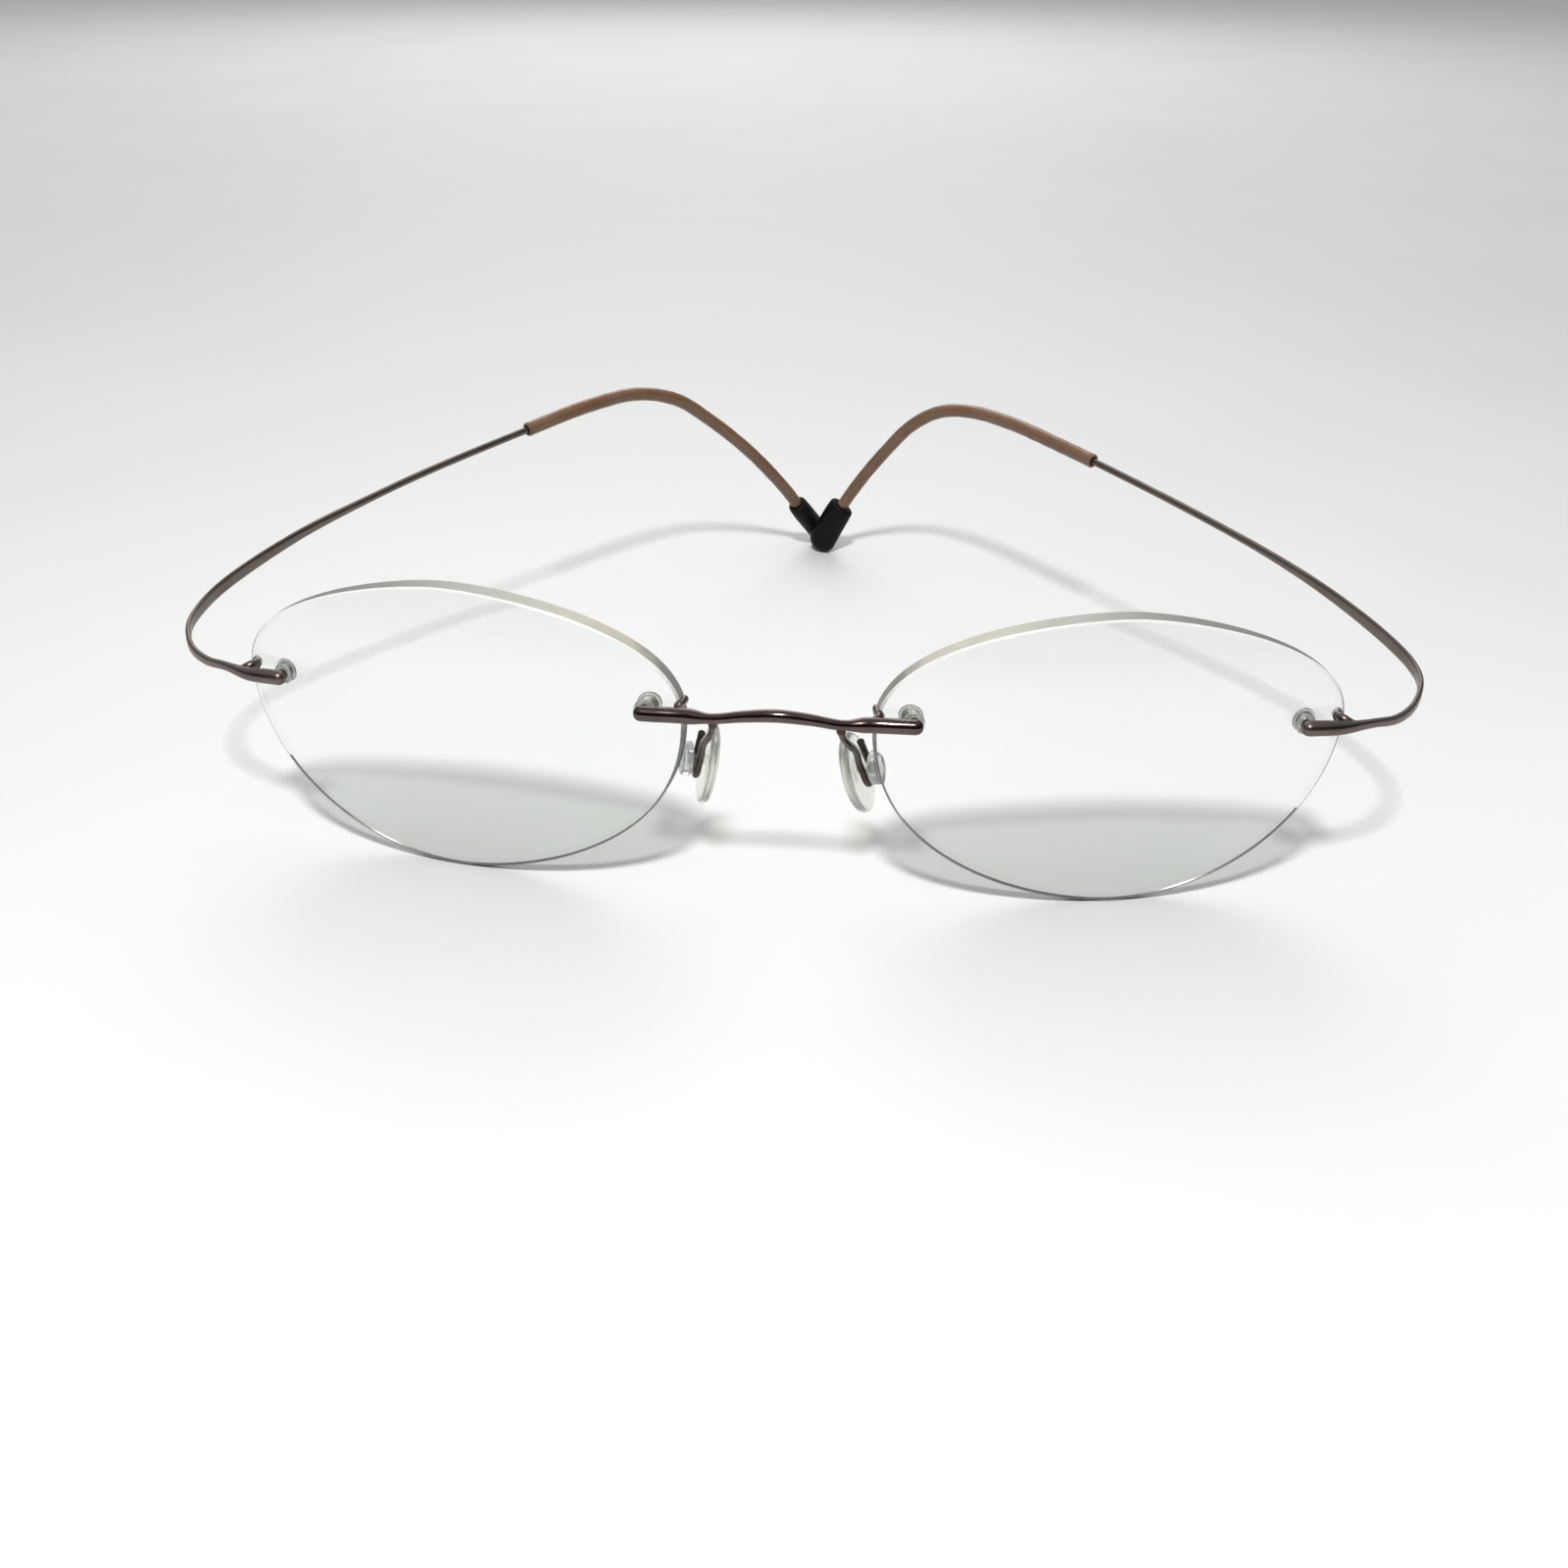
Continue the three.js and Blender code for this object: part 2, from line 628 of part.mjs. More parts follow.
function addPiece(name, geometry, finish) {
  const mesh = new THREE.Mesh(cleaned(geometry), new THREE.MeshStandardMaterial(finishes[finish]));
  mesh.name = name;
  glasses.add(mesh);
}

function addPair(name, geometry, finish) {
  const left = cleaned(geometry);
  addPiece(`left_${name}`, left, finish);
  addPiece(`right_${name}`, mirrored(left), finish);
}

addPair('lens', lensGeometry(), 'glass');
addPiece('bridge', bridgeGeometry(), 'metal');
addPair('nasal_bush', bushGeometry(hole.nasalU, hole.nasalV), 'clear');
addPair('nasal_flange', flangeGeometry(hole.nasalU, hole.nasalV), 'clear');
addPair('temporal_bush', bushGeometry(hole.temporalU, hole.temporalV), 'clear');
addPair('temporal_flange', flangeGeometry(hole.temporalU, hole.temporalV), 'clear');

for (const [side, route] of [['left', leftRoute], ['right', rightRoute]]) {
  const curve = templeCurve(route);
  const { sleeve, cap, capTall, capThick } = covered[side];
  const loop = padPlace(inwardLean[side]);
  const place = side === 'left' ? cleaned : (geometry) => mirrored(cleaned(geometry));
  addPiece(`${side}_pad_arm`, place(padArmGeometry(loop)), 'metal');
  addPiece(`${side}_nose_pad`, place(padGeometry(loop)), 'silicone');
  addPiece(`${side}_pad_button`, place(buttonGeometry(loop)), 'clear');
  addPiece(`${side}_end_piece`, place(endPieceGeometry(curve)), 'metal');
  addPiece(`${side}_temple_wire`, place(wireGeometry(curve)), 'metal');
  addPiece(`${side}_sleeve`, place(sleeveGeometry(curve, sleeve, cap)), 'sleeve');
  addPiece(`${side}_end_cap`, place(capGeometry(curve, cap, capTall, capThick)), 'rubber');
}

export default glasses;
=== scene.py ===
"""Rimless eyeglasses with hingeless flexible wire temples: the visual model.

The sizes below are in millimetres, in the part's own drawing frame: x outwards from the
middle plane, y back from the front of the lenses, z up from the table. make_piece() turns
them into the frame's metres. Left and right are the wearer's: left is +X.
"""

import math

import bmesh
import bpy
from mathutils import Matrix, Vector


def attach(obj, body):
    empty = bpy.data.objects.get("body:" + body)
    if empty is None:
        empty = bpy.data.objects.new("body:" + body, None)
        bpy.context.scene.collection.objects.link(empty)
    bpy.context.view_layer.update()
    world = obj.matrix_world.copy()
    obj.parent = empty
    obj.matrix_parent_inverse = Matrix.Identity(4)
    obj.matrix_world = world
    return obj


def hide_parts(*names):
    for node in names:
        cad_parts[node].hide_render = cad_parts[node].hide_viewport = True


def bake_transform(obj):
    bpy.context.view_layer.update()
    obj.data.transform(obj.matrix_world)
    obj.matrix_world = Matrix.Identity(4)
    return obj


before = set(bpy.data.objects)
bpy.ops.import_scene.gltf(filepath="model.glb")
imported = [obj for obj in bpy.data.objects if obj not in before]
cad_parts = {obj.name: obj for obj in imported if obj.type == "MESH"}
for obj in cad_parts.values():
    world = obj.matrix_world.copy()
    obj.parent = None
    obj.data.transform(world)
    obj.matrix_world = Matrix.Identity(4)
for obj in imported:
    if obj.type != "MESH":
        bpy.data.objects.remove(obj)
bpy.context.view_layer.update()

MM = 0.001
FRONT_TO_MIDDLE = 50.7          # the frame's zero is this far behind the front of the lenses

SIDES = (("left", 1), ("right", -1))

# ---------------------------------------------------------------- dimensions

LENS_WIDTH, LENS_HEIGHT, LENS_X = 49.0, 32.75, 34.47
LENS_WRAP, LENS_TILT = math.radians(9), math.radians(-1)
FRONT_RADIUS, BACK_RADIUS = 92.0, 105.0
THICKEST, THICKEST_U, THICKEST_V = 1.75, -9.0, 12.0
TOP_GAIN = 0.62                 # how much thicker the lens's upper edge is made
HOLE_RADIUS, NOTCH_RADIUS = 1.0, 0.6
NASAL_HOLE, TEMPORAL_HOLE = (-20.6, 5.25), (20.0, 4.15)
NASAL_NOTCH, TEMPORAL_NOTCH = (-24.1, 5.6), (23.75, 4.5)
LENS_BEVEL = 0.18
WIDEST_V = {"temporal": 4.3, "nasal": 3.7}      # heights of the outermost and innermost points
HIGHEST_U, LOWEST_U = 0.3, 1.4
EDGE_FACING, BEVEL_FACING = 0.5, 0.85           # below these a lens face is edge, or bevel

BAR_RADIUS, NECK_RADIUS, MIDDLE_RADIUS = 0.82, 0.55, 0.68
BAR_DEPTH = -1.16               # the bar's middle, from the front of the lens
BRIDGE_NECK = Vector((6.5, -2.5, 21.8))
BRIDGE_MIDDLE = Vector((0, -2.75, 22.6))
PIN_ROOT, PIN_RADIUS, PIN_TAIL = 0.5, 0.46, 0.45
POST_RADIUS = 0.5

FLEX_ALONG, TAPER_END = 18.0, 58.0
FLEX_HALF = 4                   # half the length of the flex zone either side of the flex line, whose two ends are found along the temple
STRIP_START, STRIP_TALLEST = (0.36, 0.46), 0.76     # half thickness and half height, half height
STRIP_THIN, WIRE_RADIUS = 0.26, 0.46
CAP_FLOOR = 2.2
ROUTES = {
    "left": (
        (61.1, 6.4, 20.5), (63.7, 8.2, 20.1), (66.1, 11.0, 20.2), (67.7, 14.6, 20.9),
        (68.0, 18.6, 21.2), (66.5, 24.0, 21.9), (61.9, 33.4, 23.3), (56.6, 42.0, 24.4),
        (48.6, 53.0, 25.6), (39.7, 64.0, 26.8), (32.2, 72.5, 27.8), (26.2, 79.5, 28.3),
        (20.7, 85.2, 28.1), (16.2, 88.8, 26.9), (12.0, 92.1, 23.6), (8.2, 94.8, 18.6),
        (4.5, 96.9, 13.1), (1.2, 98.5, 7.4), (-2.2, 99.6, 0.27),
    ),
    "right": (
        (60.6, 6.2, 20.7), (63.4, 8.0, 20.3), (66.4, 11.0, 20.3), (68.3, 14.8, 20.8),
        (68.8, 18.8, 21.2), (67.8, 24.0, 22.2), (62.4, 34.5, 24.6), (56.0, 45.0, 26.2),
        (50.6, 53.0, 27.3), (40.5, 65.0, 29.3), (33.4, 73.4, 30.5), (27.6, 79.9, 30.5),
        (22.6, 84.6, 28.5), (18.7, 88.2, 24.9), (12.9, 93.0, 18.5), (7.7, 97.2, 11.4),
        (4.8, 100.1, 6.4), (1.2, 104.2, 0.35),
    ),
}
SLEEVE_LENGTH = {"left": 55.8, "right": 57.2}
CAP_LENGTH = {"left": 9.0, "right": 10.3}
CAP_TALL, CAP_THICK = {"left": 2.15, "right": 1.6}, {"left": 1.45, "right": 1.6}
SLEEVE_RADIUS, SLEEVE_BORE = 0.96, 0.58

PAD_LENGTH, PAD_WIDTH, PAD_DROP = 10.7, 6.6, 0.75
PAD_NEAR, PAD_FAR, PAD_RIM = 0.78, 2.0, 0.42
PAD_LEAN = {"left": 3.7, "right": 2.7}
LOOP_MIDDLE = Vector((9.0, 4.1, 13.4))
LOOP_HALF, LEG_BELOW, LEG_ABOVE = 1.1, 0.9, 3.0
PAD_HEIGHT, PAD_FORWARD, PAD_SPLAY = 11.4, 3.6, math.radians(14)
ARM_RADIUS = 0.4


# ------------------------------------------------------------------- camera

CAMERA_PLACE = (0.01166, -0.19206, 0.09509)         # metres, in the frame
CAMERA_YAW, CAMERA_PITCH, CAMERA_ROLL = -4.469, 30, -0.792
FOCAL_LENGTH = SENSOR_WIDTH = 36


def add_camera():
    yaw, pitch, roll = map(math.radians, (CAMERA_YAW, CAMERA_PITCH, CAMERA_ROLL))
    forward = Vector((
        math.sin(yaw) * math.cos(pitch), math.cos(yaw) * math.cos(pitch), -math.sin(pitch)
    ))
    level = Vector((math.cos(yaw), -math.sin(yaw), 0))
    down = forward.cross(level)
    right = level * math.cos(roll) + down * math.sin(roll)
    up = level * math.sin(roll) - down * math.cos(roll)
    data = bpy.data.cameras.new("camera")
    data.lens = FOCAL_LENGTH
    data.sensor_width = SENSOR_WIDTH
    data.clip_start = 0.005
    data.clip_end = 20
    camera = bpy.data.objects.new("camera", data)
    bpy.context.scene.collection.objects.link(camera)
    turn = Matrix((right, up, -forward)).transposed().to_4x4()
    camera.matrix_world = Matrix.Translation(CAMERA_PLACE) @ turn
    bpy.context.scene.camera = camera


add_camera()


# ------------------------------------------------------------------- helpers

def ease(value, low, high):
    share = min(1, max(0, (value - low) / (high - low)))
    return share * share * (3 - 2 * share)


def mix(a, b, share):
    return a + (b - a) * share


class Curve:
    """A centripetal Catmull-Rom curve through points, measured by its length."""

    def __init__(self, points, steps=60):
        knots = [Vector(p) for p in points]
        knots = [2 * knots[0] - knots[1], *knots, 2 * knots[-1] - knots[-2]]
        self.points = []
        for i in range(1, len(knots) - 2):
            p0, p1, p2, p3 = knots[i - 1:i + 3]
            d0, d1, d2 = ((b - a).length ** 0.5 for a, b in ((p0, p1), (p1, p2), (p2, p3)))
            start = ((p1 - p0) / d0 - (p2 - p0) / (d0 + d1) + (p2 - p1) / d1) * d1
            end = ((p2 - p1) / d1 - (p3 - p1) / (d1 + d2) + (p3 - p2) / d2) * d1
            for k in range(steps):
                self.points.append(self.between(p1, p2, start, end, k / steps))
        self.points.append(knots[-2])
        self.lengths = [0.0]
        for a, b in zip(self.points, self.points[1:]):
            self.lengths.append(self.lengths[-1] + (b - a).length)
        self.total = self.lengths[-1]

    @staticmethod
    def between(p1, p2, start, end, t):
        return (
            p1
            + start * t
            + (3 * (p2 - p1) - 2 * start - end) * t ** 2
            + (2 * (p1 - p2) + start + end) * t ** 3
        )

    def at(self, along):
        along = min(self.total, max(0, along))
        low, high = 0, len(self.lengths) - 1
        while high - low > 1:
            middle = (low + high) // 2
            if self.lengths[middle] <= along:
                low = middle
            else:
                high = middle
        span = self.lengths[high] - self.lengths[low]
        return self.points[low].lerp(self.points[high], (along - self.lengths[low]) / span)

    def forward(self, along, reach=0.05):
        return (self.at(along + reach) - self.at(along - reach)).normalized()


UP = Vector((0, 0, 1))


def ring_at(curve, along, thick, tall, sides, roundness=2.0, guide=UP):
    """A ring round a curve; roundness 2 is an ellipse, and more is squarer."""
    centre, forward = curve.at(along), curve.forward(along)
    sideways = forward.cross(guide).normalized()
    upwards = sideways.cross(forward)
    ring = []
    for k in range(sides):
        angle = 2 * math.pi * k / sides
        across = math.copysign(abs(math.cos(angle)) ** (2 / roundness), math.cos(angle))
        rise = math.copysign(abs(math.sin(angle)) ** (2 / roundness), math.sin(angle))
        ring.append(centre + sideways * (thick * across) + upwards * (tall * rise))
    return ring


def skin(rings, ends=True):
    """Points and faces of a closed skin over rings; without ends the last joins the first."""
    sides = len(rings[0])
    points = [p for ring in rings for p in ring]
    faces = []
    rows = len(rings) - 1 if ends else len(rings)
    for row in range(rows):
        near, far = row * sides, ((row + 1) % len(rings)) * sides
        for k in range(sides):
            beside = (k + 1) % sides
            faces.append((near + k, near + beside, far + beside, far + k))
    if ends:
        faces.append(tuple(reversed(range(sides))))
        faces.append(tuple(range(len(points) - sides, len(points))))
    return points, faces


def evenly(start, end, count):
    return [mix(start, end, k / count) for k in range(count + 1)]


def nose(radius, count=8):
    """Distances and scales of the rings of a round nose, from its tip."""
    angles = [math.pi / 2 * (k + 0.4) / (count + 0.4) for k in range(count + 1)]
    return [(radius * (1 - math.cos(a)), math.sin(a)) for a in angles]


def turned(profile, sides=40):
    """A closed profile of (radius, depth) turned about the Y axis."""
    rings = []
    for k in range(sides):
        angle = 2 * math.pi * k / sides
        rings.append([Vector((r * math.cos(angle), y, r * math.sin(angle))) for r, y in profile])
    return skin(rings, ends=False)


def solid_turned(profile, sides=40):
    """A solid turned about the Y axis, closed at both ends of its open profile."""
    rings = []
    for radius, depth in profile:
        rings.append([
            Vector((
                radius * math.cos(2 * math.pi * k / sides), depth,
                radius * math.sin(2 * math.pi * k / sides),
            ))
            for k in range(sides)
        ])
    return skin(rings)


def moved(shape, place):
    points, faces = shape
    return [place @ p for p in points], faces


def new_mesh(name, shape, sign=1):
    """A mesh in the frame's metres; sign -1 mirrors it to the wearer's right."""
    points, faces = shape
    mesh = bpy.data.meshes.new(name)
    mesh.from_pydata(
        [(sign * p.x * MM, (p.y - FRONT_TO_MIDDLE) * MM, p.z * MM) for p in points], [], faces
    )
    tidy = bmesh.new()
    tidy.from_mesh(mesh)
    bmesh.ops.recalc_face_normals(tidy, faces=tidy.faces)
    tidy.to_mesh(mesh)
    tidy.free()
    return mesh


def new_object(name, mesh):
    piece = bpy.data.objects.new(name, mesh)
    bpy.context.scene.collection.objects.link(piece)
    return piece


def combine(piece, tools, operation):
    """Joins or cuts a piece with other meshes, and leaves one clean mesh."""
    helpers = [new_object("tool", mesh) for mesh in tools]
    for helper in helpers:
        step = piece.modifiers.new("combine", "BOOLEAN")
        step.operation = operation
        step.solver = "EXACT"
        step.object = helper
    bpy.context.view_layer.update()
    made = bpy.data.meshes.new_from_object(
        piece.evaluated_get(bpy.context.evaluated_depsgraph_get())
    )
    piece.modifiers.clear()
    piece.data = made
    for helper in helpers:
        bpy.data.objects.remove(helper)


def make_piece(name, shape, material, body, replaces, sign=1, tools=(), operation="UNION",
               sharp=35):
    piece = new_object(name, new_mesh(name, shape, sign))
    if tools:
        combine(piece, [new_mesh("tool", tool, sign) for tool in tools], operation)
    piece.data.materials.clear()
    piece.data.materials.append(material)
    piece.data.shade_smooth()
    piece.data.set_sharp_from_angle(angle=math.radians(sharp))
    if body:
        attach(piece, body)
    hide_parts(*replaces)
    return piece


# ----------------------------------------------------------------- materials

class Nodes:
    """A material with one Principled shader and a few procedural textures."""

    def __init__(self, name):
        self.material = bpy.data.materials.new(name)
        self.material.use_nodes = True
        self.tree = self.material.node_tree
        self.tree.nodes.clear()
        self.output = self.add("ShaderNodeOutputMaterial")
        self.shader = self.add("ShaderNodeBsdfPrincipled")
        self.link(self.shader.outputs["BSDF"], self.output.inputs["Surface"])
        self.place = self.add("ShaderNodeTexCoord").outputs["Object"]

    def add(self, kind, **values):
        node = self.tree.nodes.new(kind)
        for key, value in values.items():
            setattr(node, key, value)
        return node

    def link(self, start, end):
        self.tree.links.new(start, end)

    def constants(self, **values):
        for key, value in values.items():
            self.shader.inputs[key.replace("_", " ")].default_value = value

    def stretched(self, scale):
        node = self.add("ShaderNodeMapping")
        node.inputs["Scale"].default_value = scale
        self.link(self.place, node.inputs["Vector"])
        return node.outputs["Vector"]

    def noise(self, scale, detail=4.0, roughness=0.55, vector=None):
        node = self.add("ShaderNodeTexNoise")
        node.inputs["Scale"].default_value = scale
        node.inputs["Detail"].default_value = detail
        node.inputs["Roughness"].default_value = roughness
        self.link(vector or self.place, node.inputs["Vector"])
        return node.outputs["Fac"]

    def between(self, value, low, high, start=0.3, end=0.7):
        node = self.add("ShaderNodeMapRange")
        for key, number in (
            ("From Min", start), ("From Max", end), ("To Min", low), ("To Max", high)
        ):
            node.inputs[key].default_value = number
        self.link(value, node.inputs["Value"])
        return node.outputs["Result"]

    def ramp(self, value, *stops):
        node = self.add("ShaderNodeValToRGB")
        points = node.color_ramp.elements
        while len(points) < len(stops):
            points.new(0.5)
        for point, (position, colour) in zip(points, stops):
            point.position = position
            point.color = (*colour, 1)
        self.link(value, node.inputs["Fac"])
        return node.outputs["Color"]

    def colour(self, value, *stops):
        self.link(self.ramp(value, *stops), self.shader.inputs["Base Color"])

    def roughness(self, value, low, high, start=0.3, end=0.7):
        self.link(self.between(value, low, high, start, end), self.shader.inputs["Roughness"])

    def bump(self, value, strength, distance):
        node = self.add("ShaderNodeBump")
        node.inputs["Strength"].default_value = strength
        node.inputs["Distance"].default_value = distance
        self.link(value, node.inputs["Height"])
        self.link(node.outputs["Normal"], self.shader.inputs["Normal"])

    def lets_lamps_through(self, tint):
        """Shadow rays pass as through clear glass, so what stands behind stays lit."""
        path = self.add("ShaderNodeLightPath")
        clear = self.add("ShaderNodeBsdfTransparent")
        clear.inputs["Color"].default_value = (*tint, 1)
        either = self.add("ShaderNodeMixShader")
        self.link(path.outputs["Is Shadow Ray"], either.inputs["Fac"])
        self.link(self.shader.outputs["BSDF"], either.inputs[1])
        self.link(clear.outputs["BSDF"], either.inputs[2])
        self.link(either.outputs["Shader"], self.output.inputs["Surface"])


def polished_metal(name, dull, bright):
    """Dark brown plated metal: bright, with faint clouding and hairline polishing marks."""
    n = Nodes(name)
    n.constants(Metallic=1.0)
    n.colour(n.noise(260, 5), (0.3, dull), (0.7, bright))
    hairlines = n.noise(900, 6, 0.65, n.stretched((0.25, 2.2, 2.2)))
    n.roughness(hairlines, 0.09, 0.19)
    n.bump(hairlines, 0.1, 0.00002)
    return n.material


def satin_metal():
    """The same plating on the drawn strip, with a satin face and drawing lines along it."""
    n = Nodes("satin_metal")
    n.constants(Metallic=1.0)
    clouds = n.noise(180, 5)
    n.colour(clouds, (0.3, (0.135, 0.112, 0.1)), (0.7, (0.185, 0.155, 0.138)))
    lines = n.noise(1100, 6, 0.7, n.stretched((0.3, 0.3, 3.0)))
    n.roughness(lines, 0.26, 0.42)
    n.bump(lines, 0.2, 0.00003)
    return n.material


def lens_glass():
    """Clear plastic lens with a faint green-grey cast and a very light film of smears."""
    n = Nodes("lens_glass")
    n.constants(Transmission_Weight=1.0, IOR=1.5)
    cast = n.noise(40, 3)
    n.colour(cast, (0.35, (0.955, 0.98, 0.962)), (0.65, (0.975, 0.99, 0.978)))
    smears = n.noise(120, 5, 0.6, n.stretched((1, 1, 0.5)))
    n.roughness(smears, 0.0, 0.03, 0.5, 0.85)
    n.lets_lamps_through((0.63, 0.64, 0.62))
    return n.material


def ground_edge():
    """The lens's ground edge, frosted: beige by the nose and darker outwards, with painted shade
    darkening it underneath.
    """
    n = Nodes("ground_edge")
    n.constants(Transmission_Weight=0.2, IOR=1.5)
    apart = n.add("ShaderNodeSeparateXYZ")
    n.link(n.place, apart.inputs["Vector"])
    outwards = n.add("ShaderNodeMath", operation="ABSOLUTE")
    n.link(apart.outputs["X"], outwards.inputs[0])
    wandering = n.add("ShaderNodeMath", operation="ADD")
    n.link(n.between(outwards.outputs["Value"], 0.12, 0.88, 0.012, 0.058), wandering.inputs[0])
    n.link(n.between(n.noise(160, 4), -0.03, 0.03), wandering.inputs[1])
    round_the_top = n.ramp(
        wandering.outputs["Value"], (0.12, (0.24, 0.25, 0.23)), (0.16, (0.56, 0.52, 0.43)),
        (0.45, (0.3, 0.315, 0.27)), (0.85, (0.13, 0.138, 0.128)),
    )
    # Painted shade: the colour is scaled darker towards the edge's bottom, near the table.
    painted_light_by_height = n.between(apart.outputs["Z"], 0.18, 1.0, 0.014, 0.024)
    darkened = n.add("ShaderNodeVectorMath", operation="SCALE")
    n.link(round_the_top, darkened.inputs["Vector"])
    n.link(painted_light_by_height, darkened.inputs["Scale"])
    n.link(darkened.outputs["Vector"], n.shader.inputs["Base Color"])
    marks = n.noise(1500, 5, 0.7, n.stretched((0.4, 3.0, 0.4)))
    n.roughness(marks, 0.3, 0.5)
    n.bump(marks, 0.2, 0.00003)
    return n.material


def edge_bevel_painted_light():
    """The narrow bevel between a face and the ground edge: a painted highlight on top, painted
    shade in grey below.
    """
    n = Nodes("edge_bevel_painted_light")
    n.constants(Transmission_Weight=0.35, IOR=1.5)
    apart = n.add("ShaderNodeSeparateXYZ")
    n.link(n.place, apart.inputs["Vector"])
    marks = n.noise(900, 5, 0.7)
    # Painted highlight and painted shade: near white at the top of the bevel, grey to dark lower
    # down.
    painted_light_by_height = n.add("ShaderNodeMath", operation="ADD")
    n.link(n.between(apart.outputs["Z"], 0, 0.9, 0.019, 0.026), painted_light_by_height.inputs[0])
    n.link(n.between(marks, 0, 0.1), painted_light_by_height.inputs[1])
    n.colour(painted_light_by_height.outputs["Value"], (0.05, (0.1, 0.105, 0.1)), (0.95, (0.92, 0.92, 0.9)))
    n.roughness(marks, 0.14, 0.26)
    return n.material


def clear_plastic():
    """Clear moulded plastic, faintly milky, with slight flow lines."""
    n = Nodes("clear_plastic")
    n.constants(Transmission_Weight=0.74, IOR=1.46)
    flow = n.noise(420, 2, 0.5)
    n.colour(flow, (0.3, (0.93, 0.94, 0.92)), (0.7, (0.98, 0.985, 0.97)))
    n.roughness(flow, 0.07, 0.15)
    n.bump(flow, 0.08, 0.00002)
    n.lets_lamps_through((0.85, 0.86, 0.84))
    return n.material


def silicone():
    """Clear silicone, very slightly yellowed, with a soft skin of fine grain."""
    n = Nodes("silicone")
    n.constants(Transmission_Weight=0.93, IOR=1.42)
    age = n.noise(320, 4)
    n.colour(age, (0.3, (0.86, 0.87, 0.78)), (0.7, (0.955, 0.955, 0.9)))
    grain = n.noise(2600, 4, 0.6)
    n.roughness(grain, 0.1, 0.24)
    n.bump(grain, 0.12, 0.00003)
    n.lets_lamps_through((0.82, 0.83, 0.78))
    return n.material


def sleeve_tube():
    """Translucent brown tube with a smooth waxy skin: paler at its rims than over the wire."""
    n = Nodes("sleeve_tube")
    n.constants(Transmission_Weight=0.8, IOR=1.42)
    uneven_tone = n.noise(150, 3, 0.5)
    n.colour(
        uneven_tone, (0.3, (0.6, 0.35, 0.2)), (0.5, (0.68, 0.43, 0.27)), (0.7, (0.76, 0.52, 0.36))
    )
    skin_grain = n.noise(420, 2)
    n.roughness(skin_grain, 0.16, 0.26)
    n.bump(skin_grain, 0.06, 0.00002)
    n.lets_lamps_through((0.6, 0.46, 0.38))
    return n.material


def sleeve_lining():
    """The tube's inner wall, dark brown with an uneven tone."""
    n = Nodes("sleeve_lining")
    uneven_tone = n.noise(260, 4, 0.55)
    n.colour(uneven_tone, (0.3, (0.1, 0.044, 0.017)), (0.7, (0.18, 0.086, 0.038)))
    n.roughness(uneven_tone, 0.4, 0.6)
    return n.material


def black_rubber():
    """Matt black rubber with a fine grain and slightly paler rubbed patches."""
    n = Nodes("black_rubber")
    n.constants(Specular_IOR_Level=0.16)
    rubbed = n.noise(420, 4, 0.55)
    n.colour(rubbed, (0.35, (0.0015, 0.0015, 0.0015)), (0.75, (0.006, 0.006, 0.0055)))
    grain = n.noise(5200, 4, 0.6)
    n.roughness(rubbed, 0.42, 0.58)
    n.bump(grain, 0.3, 0.00005)
    return n.material


METAL = polished_metal("polished_metal", (0.1, 0.076, 0.071), (0.137, 0.107, 0.1))
# The pad arms' copy of the plating is darker: painted shade, for the shadow they stand in.
ARM_METAL_PAINTED_SHADE = polished_metal("arm_metal_painted_shade", (0.055, 0.044, 0.036), (0.08, 0.065, 0.055))
STRIP = satin_metal()
GLASS = lens_glass()
EDGE = ground_edge()
BEVEL = edge_bevel_painted_light()
CLEAR = clear_plastic()
SILICONE = silicone()
SLEEVE = sleeve_tube()
LINING = sleeve_lining()
RUBBER = black_rubber()


# -------------------------------------------------------------------- lenses

THINNING = 1 / FRONT_RADIUS - 1 / BACK_RADIUS


def front_depth(u, v):
    return (u * u + v * v) / (2 * FRONT_RADIUS)


def thickness(u, v):
    away = (u - THICKEST_U) ** 2 + (v - THICKEST_V) ** 2
    raised = max(0, v) / (LENS_HEIGHT / 2)
    return THICKEST - away * THINNING / 2 + TOP_GAIN * raised ** 2


def bezier(a, b, c, d, count):
    for k in range(count):
        t = k / count
        yield a * (1 - t) ** 3 + b * 3 * t * (1 - t) ** 2 + c * 3 * t * t * (1 - t) + d * t ** 3


def lens_outline(count=72):
    """Four arcs between the outermost, highest, innermost and lowest points of the lens."""
    temporal = Vector((LENS_WIDTH / 2, WIDEST_V["temporal"]))
    top = Vector((HIGHEST_U, LENS_HEIGHT / 2))
    nasal = Vector((-LENS_WIDTH / 2, WIDEST_V["nasal"]))
    bottom = Vector((LOWEST_U, -LENS_HEIGHT / 2))

    def upright(start, end, rise, run):
        first = Vector((start.x, mix(start.y, end.y, rise)))
        return bezier(start, first, Vector((mix(end.x, start.x, run), end.y)), end, count)

    def level(start, end, run, rise):
        first = Vector((mix(start.x, end.x, run), start.y))
        return bezier(start, first, Vector((end.x, mix(end.y, start.y, rise))), end, count)

    return [
        *upright(temporal, top, 0.66, 0.3),
        *level(top, nasal, 0.32, 0.76),
        *upright(nasal, bottom, 0.79, 0.27),
        *level(bottom, temporal, 0.47, 0.615),
    ]


OUTLINE = lens_outline()
LEANING = Matrix.Rotation(LENS_WRAP, 4, "Z") @ Matrix.Rotation(LENS_TILT, 4, "X")


def lowest_point():
    heights = []
    for p in OUTLINE:
        front = front_depth(p.x, p.y)
        for depth in (front, front + thickness(p.x, p.y)):
            heights.append((LEANING @ Vector((p.x, depth, p.y))).z)
    return min(heights)


LENS_PLACE = Matrix.Translation((LENS_X, 0, -lowest_point())) @ LEANING


def on_lens(u, v):
    """A frame on the front of the lens: X to the temple, Y through the lens, Z up."""
    return LENS_PLACE @ Matrix.Translation((u, front_depth(u, v), v))


